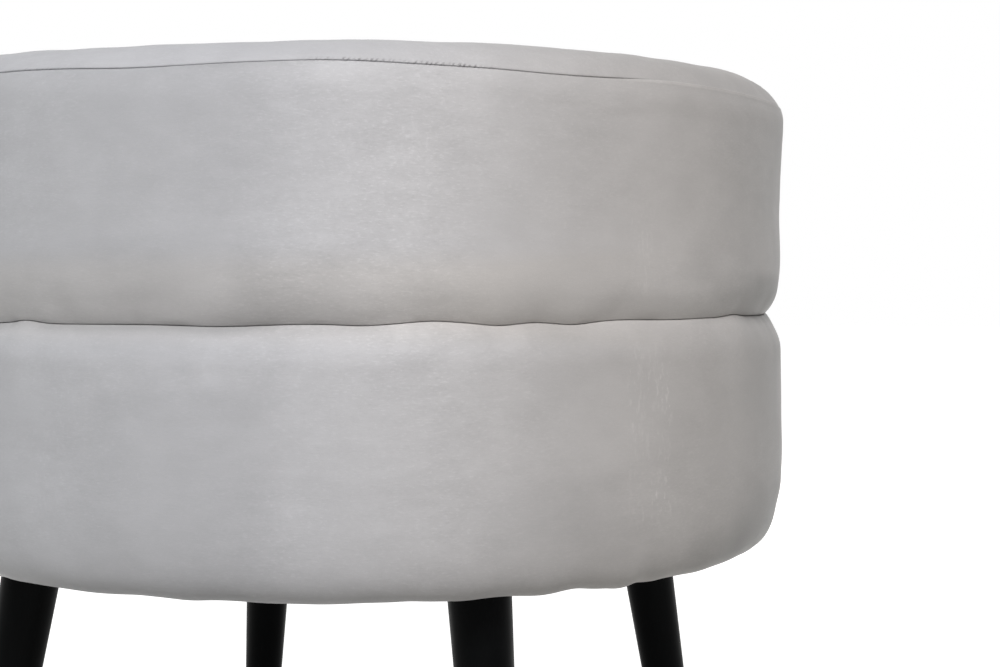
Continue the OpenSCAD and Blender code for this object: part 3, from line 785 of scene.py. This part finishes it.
def hardboard():
    s = Shader("pressed_fibre_board")
    fibre = s.noise(400, 4.0, 0.7, 0.6)
    cloud = s.noise(25, 2.0)
    colour = s.mix(s.ranged(fibre, 0.35, 0.65), (0.19, 0.11, 0.055), (0.28, 0.17, 0.09))
    colour = s.mix(0.2, colour, s.grey(cloud), "OVERLAY")
    return s.set(Base_Color=colour, Roughness=0.6, Normal=s.bump(fibre, 0.1 * MM, 0.4))


def black_wood():
    """Satin black lacquer over wood whose grain just tells, dustier and rougher in patches."""
    s = Shader("satin_black_wood")
    grain = s.noise((300, 300, 12), 4.0, 0.6, 0.4)
    dust = s.noise(40, 4.0, 0.65)
    colour = s.mix(s.ranged(dust, 0.45, 0.75), (0.0014, 0.0017, 0.0019), (0.0030, 0.0033, 0.0037))
    rough = s.ranged(dust, 0.3, 0.7, 0.34, 0.44)
    s.set(Specular_IOR_Level=0.034)
    return s.set(Base_Color=colour, Roughness=rough, Normal=s.bump(grain, 0.08 * MM, 0.35))


def steel(name, colour, roughness):
    s = Shader(name)
    brushed = s.noise((700, 700, 120), 3.0, 0.6)
    spots = s.noise(160, 2.0)
    colour = s.mix(s.ranged(spots, 0.4, 0.7), colour, tuple(c * 0.82 for c in colour))
    s.set(Metallic=1.0)
    rough = s.ranged(brushed, 0.3, 0.7, roughness - 0.08, roughness + 0.1)
    return s.set(Base_Color=colour, Roughness=rough, Normal=s.bump(brushed, 0.03 * MM, 0.3))


def moulded_plastic():
    s = Shader("glide_plastic")
    grain = s.noise(1800, 2.0)
    scuff = s.noise(120, 4.0, 0.7)
    colour = s.mix(s.ranged(scuff, 0.5, 0.75), (0.028, 0.028, 0.03), (0.07, 0.068, 0.066))
    rough = s.ranged(scuff, 0.3, 0.7, 0.42, 0.6)
    return s.set(Base_Color=colour, Roughness=rough, Normal=s.bump(grain, 0.05 * MM, 0.3))


def foam():
    s = Shader("seat_foam")
    cells = s.node("ShaderNodeTexVoronoi", Vector=s.coords(), Scale=900.0).outputs["Distance"]
    large = s.node("ShaderNodeTexVoronoi", Vector=s.coords(), Scale=260.0).outputs["Distance"]
    age = s.noise(7, 3.0)
    colour = s.mix(s.ranged(age, 0.35, 0.7), (0.84, 0.77, 0.52), (0.80, 0.69, 0.40))
    colour = s.mix(0.35, colour, s.grey(s.ranged(cells, 0.0, 0.5, 0.35, 0.7)), "OVERLAY")
    height = s.plus(cells, s.times(large, 0.6))
    return s.set(Base_Color=colour, Roughness=0.95, Normal=s.bump(height, 0.5 * MM, 0.7), Specular_IOR_Level=0.2)


def wadding():
    s = Shader("polyester_wadding")
    fibres = s.noise((500, 500, 900), 4.0, 0.7, 2.0)
    lofts = s.noise(60, 3.0)
    colour = s.mix(s.ranged(fibres, 0.35, 0.65), (0.80, 0.80, 0.78), (0.92, 0.92, 0.90))
    height = s.plus(fibres, s.times(lofts, 2.0))
    s.set(Sheen_Weight=0.3, Specular_IOR_Level=0.2)
    return s.set(Base_Color=colour, Roughness=0.95, Normal=s.bump(height, 0.6 * MM, 0.6))


def woven(name, colour, threads):
    """Plain cloth with so many threads in a metre."""
    s = Shader(name)
    uv = s.place("UV")
    warp, weft = (s.math("SINE", s.times(uv[k], threads * 2 * math.pi)) for k in "XY")
    weave = s.times(warp, weft)
    slub = s.noise((90, 90, 400), 3.0)
    colour = s.tinted(colour, s.ranged(weave, -1, 1, 0.86, 1.06), s.ranged(slub, 0.3, 0.7, 0.94, 1.05))
    s.set(Sheen_Weight=0.2, Specular_IOR_Level=0.3)
    return s.set(Base_Color=colour, Roughness=0.9, Normal=s.bump(weave, 0.2 * MM, 0.6))


def nonwoven():
    """Black spunbonded dust cloth with its pattern of small bonded dots."""
    s = Shader("dust_cloth")
    dots = s.node("ShaderNodeTexVoronoi", {"voronoi_dimensions": "2D"}, Vector=s.coords(), Scale=620.0,
                  Randomness=0.15).outputs["Distance"]
    fibres = s.noise((700, 250, 700), 4.0, 0.7, 1.5)
    colour = s.mix(s.ranged(fibres, 0.35, 0.65), (0.014, 0.014, 0.015), (0.034, 0.034, 0.036))
    height = s.plus(s.ranged(dots, 0.0, 0.45), s.times(fibres, 0.5))
    s.set(Sheen_Weight=0.25, Specular_IOR_Level=0.3)
    return s.set(Base_Color=colour, Roughness=0.8, Normal=s.bump(height, 0.15 * MM, 0.6))


VELVET_SIDE = velvet("velvet_side", False)
VELVET_SEAT = velvet("velvet_seat", True)
PADDING = {"foam": foam(), "wadding": wadding()}
STEEL = steel("zinc_plated_steel", (0.56, 0.56, 0.55), 0.34)

# The cover: edges, slits and outlines
# Half of the slit at the waist, and the radius of the cloth's edge above and below it
GAP, ROLL_UP, ROLL_DOWN = 0.2 * MM, 0.9 * MM, 0.45 * MM
# The same at the top seam
SEAM_GAP, SEAM_ROLL = 0.11 * MM, 0.55 * MM
# Half of each slit's width at its inner end, and how far inside the seam the ends lie
SLIT, BAND_SLIT, PANEL_SLIT = 0.05 * MM, 1.3 * MM, 1.35 * MM
lean_up = math.atan2(GROOVE_UPPER_POWER * GROOVE_IN, GROOVE_UPPER)
lean_down = math.atan2(2 * GROOVE_IN, GROOVE_LOWER)


def waist_lip(lean, radius, up):
    """From inside the slit out to the face of a tier."""
    lift = GAP + radius * (1 - math.sin(lean))
    edge = lip((DRUM_R - GROOVE_IN, WAIST_Z + up * lift), lean, radius, up)
    inside = line((WAIST_R + 0.3 * MM, WAIST_Z + up * SLIT), edge[-1], 4)
    return chain(inside, edge[::-1]), lift


lip_up, lift_up = waist_lip(lean_up, ROLL_UP, 1)
lip_down, lift_down = waist_lip(lean_down, ROLL_DOWN, -1)
# The cloth's inner face passes just clear of the strip's edge
around_strip_up = np.array([[WAIST_R + 0.15 * MM, WAIST_Z + 0.52 * MM]])
around_strip_down = around_strip_up * [1, -1] + [0, 2 * WAIST_Z]

lean_side = math.atan2(2 * SEAM_IN, SEAM_ROUND)
side_top = SEAM_Z - SEAM_GAP - SEAM_ROLL * (1 - math.sin(lean_side))
side_t = 1 - (SEAM_Z - side_top) / SEAM_ROUND
band_edge = lip((DRUM_R - SEAM_IN * side_t ** 2, side_top), lean_side, SEAM_ROLL, -1)
band_slit = line(band_edge[-1], (SEAM_R - BAND_SLIT, SEAM_Z - SLIT), 4)

crown_lean = -math.atan2(ROLL_W, ROLL_POWER * ROLL_H)
crown_lift = SEAM_GAP + SEAM_ROLL * (1 - math.sin(crown_lean))
crown_t = 1 - (1 - crown_lift / ROLL_H) ** (1 / ROLL_POWER)
panel_edge = lip((SEAM_R - ROLL_W * crown_t, SEAM_Z + crown_lift), crown_lean, SEAM_ROLL, 1, 14)
panel_slit = line(panel_edge[-1], (SEAM_R - PANEL_SLIT, SEAM_Z + SLIT), 4)

upper_face = chain(waist_above(0, GROOVE_IN, GROOVE_UPPER, lift_up, GROOVE_UPPER_POWER), seam_side(0, side_t))
upper_face = resample(upper_face, UPPER_STEP)
upper_inside = chain(waist_above(COVER_T, WAIST_IN, WAIST_UPPER, STRIP_T / 2), seam_side(COVER_T))
upper_inside = resample(upper_inside[::-1], INSIDE_STEP)
upper_outline = chain(lip_up, upper_face, band_edge, band_slit, upper_inside, around_strip_up)
upper_seam = len(chain(lip_up, upper_face, band_edge)) - 1

lower_face = resample(chain(bottom_corner(), waist_below(0, GROOVE_IN, GROOVE_LOWER, lift_down)), LOWER_STEP)
lower_inside = chain(bottom_corner(COVER_T), waist_below(COVER_T, WAIST_IN, WAIST_LOWER, STRIP_T / 2))
lower_inside = resample(lower_inside[::-1], INSIDE_STEP)
turn_r = UNDER_R - TURN_IN
under = line((turn_r, UNDER_Z), (UNDER_R, UNDER_Z), 20)
under_inside = line((UNDER_R, UNDER_Z + COVER_T), (turn_r, UNDER_Z + COVER_T), 14)
lower_outline = chain(under, lower_face, lip_down[::-1], around_strip_down, lower_inside, under_inside)
lower_seam = len(chain(under, lower_face, lip_down[::-1])) - 1

seat_face = resample(crown(0, crown_t)[::-1], SEAT_STEP)[1:]
seat_inside = resample(crown(COVER_T, 0.02), SEAT_PAD_STEP)[:-1]
panel_outline = chain(seat_face, panel_edge, panel_slit, seat_inside)
panel_seam = len(chain(seat_face, panel_edge)) - 1

soft_piece("velvet_top_panel", panel_outline, VELVET_SEAT, ["cover_top_panel"], panel_seam, poles=True)
for name, replaced, outline, seam in (
        ("velvet_upper_band", "cover_upper_band", upper_outline, upper_seam),
        ("velvet_lower_band", "cover_lower_band", lower_outline, lower_seam)):
    if area_sign(outline) > 0:
        outline, seam = outline[::-1], len(outline) - 1 - seam
    soft_piece(name, outline, VELVET_SIDE, [replaced], seam)


# Padding under the cover
STRIP_TOP, STRIP_Z = WAIST_Z + STRIP_T / 2, WAIST_Z - STRIP_T / 2
OUT, IN = WADDING_INSET, WADDING_INSET + WADDING_T


def pad_outline(inset, low_z, high_z):
    """Outline of a layer's outer face between two heights."""
    waist = waist_below(inset, WAIST_IN, WAIST_LOWER), waist_above(inset, WAIST_IN, WAIST_UPPER)
    whole = chain(bottom_corner(inset), *waist, seam_side(inset))
    inside = (whole[:, 1] >= low_z) & (whole[:, 1] <= high_z)
    ends = [[np.interp(v, whole[:, 1], whole[:, 0]), v] for v in (low_z, high_z)]
    return chain([ends[0]], whole[inside], [ends[1]])


def closed(*parts):
    """Parts joined into one outline, the longer ones with even steps."""
    return outward(chain(*[resample(np.asarray(p), INSIDE_STEP) if len(p) > 2 else np.asarray(p) for p in parts]))


def padding(name, replaced, outline, poles=False):
    """A layer of foam or wadding, whose name starts with its slot."""
    slot = name.split("_")[0]
    soft_piece(name, outline, PADDING[slot], [replaced], columns=PAD_COLUMNS, poles=poles)


upper_wadding = closed(pad_outline(OUT, STRIP_TOP, SEAM_Z), pad_outline(IN, STRIP_TOP, SEAM_Z)[::-1])
padding("wadding_upper_side", "upper_side_wadding", upper_wadding)
lower_wadding = closed(
    chain([[FOAM_R, UNDER_Z + OUT]], pad_outline(OUT, UNDER_Z + OUT, STRIP_Z)),
    chain(pad_outline(IN, UNDER_Z + IN, STRIP_Z)[::-1], [[FOAM_R, UNDER_Z + IN]]))
padding("wadding_lower_side", "lower_side_wadding", lower_wadding)
seat_pad = chain(resample(crown(OUT)[::-1], SEAT_PAD_STEP)[1:], resample(crown(IN), SEAT_PAD_STEP)[:-1])
padding("wadding_seat", "seat_wadding", seat_pad, poles=True)

upper_foam = closed(
    pad_outline(PADDING_INSET, STRIP_TOP, SEAT_BOARD_TOP),
    [[FOAM_R, SEAT_BOARD_TOP], [FOAM_R, STRIP_TOP]])
padding("foam_upper_side", "upper_side_foam", upper_foam)
tab_relief = SKIN_R + 1.4 * MM
lower_foam = closed(
    chain([[FOAM_R, UNDER_Z + PADDING_INSET]], pad_outline(PADDING_INSET, UNDER_Z + PADDING_INSET, STRIP_Z)),
    [[tab_relief, STRIP_Z], [tab_relief, STRIP_LOW - LAYER_GAP]],
    [[FOAM_R, STRIP_LOW - LAYER_GAP], [FOAM_R, UNDER_Z + PADDING_INSET]])
padding("foam_lower_side", "lower_side_foam", lower_foam)
seat_top = resample(crown(PADDING_INSET)[::-1], SEAT_PAD_STEP)[1:]
seat_edge = pad_outline(PADDING_INSET, SEAT_BOARD_TOP, SEAM_Z)[::-1]
seat_under = line(seat_edge[-1], (0, SEAT_BOARD_TOP), 30)[:-1]
seat_foam = chain(seat_top, resample(seat_edge, SEAT_PAD_STEP), seat_under)
padding("foam_seat", "seat_foam", seat_foam, poles=True)

tab_r = SKIN_R + 0.1 * MM
strip_outline = closed(
    line((tab_r, STRIP_TOP), (WAIST_R, STRIP_TOP), 8),
    line((WAIST_R, STRIP_Z), (tab_r + STRIP_T, STRIP_Z), 8),
    line((tab_r + STRIP_T, STRIP_LOW), (tab_r, STRIP_LOW), 2))
strip_cloth = woven("strip_cloth", (0.66, 0.63, 0.56), 900)
strip = soft_piece("pull_in_strip", strip_outline, strip_cloth, ["waist_pull_strip"],
                   columns=PAD_COLUMNS)

# Dust cover
DUST_SAG, DUST_RIPPLE = 0.9 * MM, 0.18 * MM
radii = np.concatenate([np.linspace(2 * MM, DUST_R - 3 * MM, 60), DUST_R - np.array([1.5, 0.6, 0.0]) * MM])
dust_outline = chain([(r, DUST_TOP) for r in radii], [(r, DUST_LOW) for r in radii[::-1]])
r, z = dust_outline.T
az = np.radians(np.arange(PAD_COLUMNS) * 360 / PAD_COLUMNS)[:, None]
dust_points = np.stack([r * np.cos(az), r * np.sin(az), 0 * r * az], -1)
# It hangs a little between the legs and ripples towards its staples
sag = DUST_SAG * (1 - smooth(r, 60 * MM, 150 * MM))
ripple = DUST_RIPPLE * waves(dust_points, 46 * MM, 31) * (1 - smooth(r, 140 * MM, 165 * MM))
dust_points[..., 2] = z - sag + ripple
dust_around = np.arange(PAD_COLUMNS + 1) * 2 * math.pi * DUST_R / PAD_COLUMNS
dust = grid_mesh("dust_cloth_disc", dust_points, dust_around, lengths(dust_outline), wrap=False, poles=True)
dust.data.materials.append(nonwoven())
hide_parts("dust_cover")
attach(dust, "root")


# Finishes of the rigid parts
def finish_nodes(material, names):
    for name in names:
        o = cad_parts[name]
        o.data.materials.clear()
        o.data.materials.append(material)


CORNERS = ["front_right", "back_right", "back_left", "front_left"]
SIDES = ["right", "back", "left", "front"]
for board in ("seat_board", "waist_ring", "base_board"):
    low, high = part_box(board)
    finish_nodes(plywood(board + "_ply", low.z, high.z - low.z), [board])
finish_nodes(hardboard(), ["upper_skin", "lower_skin"])
pine = wood("pine", (0.72, 0.52, 0.30), (0.56, 0.36, 0.18), "Z", 130, 0.6)
finish_nodes(pine, ["leg_post_" + c for c in CORNERS] + ["lower_stud_" + s for s in SIDES])
finish_nodes(pine, ["upper_stud_%d" % k for k in range(1, 9)])
finish_nodes(black_wood(), ["leg_" + c for c in CORNERS])
finish_nodes(moulded_plastic(), ["glide_" + c for c in CORNERS])
finish_nodes(STEEL, ["base_screws", "ring_lower_screws", "ring_upper_screws", "seat_screws"])
finish_nodes(STEEL, ["glide_nails", "hanger_bolts"])
finish_nodes(steel("brass_plated_steel", (0.62, 0.50, 0.30), 0.32), ["threaded_inserts"])
staple_wire = steel("staple_wire", (0.60, 0.60, 0.60), 0.28)
finish_nodes(staple_wire, ["cover_staples", "dust_cover_staples", "waist_strip_staples"])


# Floor, world, lamps and camera
FLOOR_R, FLOOR_Z = 14, -0.2 * MM
# The floor glows white for the camera, less so near the middle, where the part's shade falls
SHADE_FROM, SHADE_TO, SHADED_GLOW = 0.26, 0.46, 0.55
pale = Shader("pale_floor")
spot = pale.node("ShaderNodeVectorMath", {"operation": "LENGTH"}, Vector=pale.coords((1, 1, 0))).outputs["Value"]
glow = pale.times(pale.ranged(spot, SHADE_FROM, SHADE_TO, SHADED_GLOW, 1.0), pale.seen())
speck = pale.ranged(pale.noise(40, 3.0), 0.3, 0.7, 0.98, 1.02)
pale.set(Base_Color=pale.tinted((0.53, 0.52, 0.49), speck), Roughness=0.9, Specular_IOR_Level=0.0)
pale.set(Emission_Color=(1, 1, 1, 1), Emission_Strength=glow)
bpy.ops.mesh.primitive_circle_add(vertices=96, radius=FLOOR_R, fill_type="NGON", location=(0, 0, FLOOR_Z))
floor = bpy.context.object
floor.name = "floor"
floor.data.materials.append(pale.material)
floor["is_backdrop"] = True

AMBIENT = (0.085, 0.09, 0.095)
world = bpy.data.worlds.new("studio")
bpy.context.scene.world = world
sky = Nodes(world)
sky.put(sky.tree.nodes["Background"].inputs["Color"], sky.mix(sky.seen(), AMBIENT, (1, 1, 1)))

AIM = Vector((0, 0, 0.3))
CAMERA_AZ = math.radians(26.5)


def around_object(azimuth, distance, height):
    """A point at an azimuth from the camera's side of the object, in degrees to the right."""
    a = CAMERA_AZ + math.radians(azimuth)
    return Vector((distance * math.sin(a), -distance * math.cos(a), height))


def softbox(name, azimuth, distance, height, width, length, watts, colour):
    """A lamp like a lit panel, aimed at the object."""
    light = bpy.data.lights.new(name, "AREA")
    light.shape = "RECTANGLE"
    light.size, light.size_y = width, length
    light.energy = watts
    light.color = colour
    obj = added(name, light)
    obj.location = around_object(azimuth, distance, height)
    obj.rotation_mode = "QUATERNION"
    obj.rotation_quaternion = (AIM - obj.location).to_track_quat("-Z", "Y")


softbox("key_box", 0, 1.9, 1.7, 0.8, 0.8, 44.5, (1.0, 0.976, 0.975))
softbox("left_box", -60, 2.1, 1.45, 1.1, 1.1, 9.6, (0.75, 0.81, 0.81))
softbox("back_box", -176, 2.4, 0.65, 0.9, 0.7, 34.0, (0.97, 0.98, 1.0))

# The camera stands where the photo was taken from, at a distance from the drum's axis and a height below the seat
EYE = around_object(0, 1.081, 0.328)
LENS_MM, SENSOR_MM = 64.87, 36
TURN, TILT, ROLL_ANGLE = 0.0784, -0.0267, 0.0019
heading = CAMERA_AZ - TURN
forward = Vector((-math.sin(heading) * math.cos(TILT), math.cos(heading) * math.cos(TILT), math.sin(TILT)))
right = Vector((math.cos(heading), math.sin(heading), 0))
up = right.cross(forward)
rolled = math.cos(ROLL_ANGLE), math.sin(ROLL_ANGLE)
right, up = rolled[0] * right + rolled[1] * up, rolled[0] * up - rolled[1] * right
camera = added("camera", bpy.data.cameras.new("camera"))
camera.data.lens = LENS_MM
camera.data.sensor_width = SENSOR_MM
camera.rotation_mode = "QUATERNION"
camera.rotation_quaternion = Matrix((right, up, -forward)).transposed().to_quaternion()
camera.location = EYE
bpy.context.scene.camera = camera

bpy.context.scene.view_settings.view_transform = "Standard"

low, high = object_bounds()
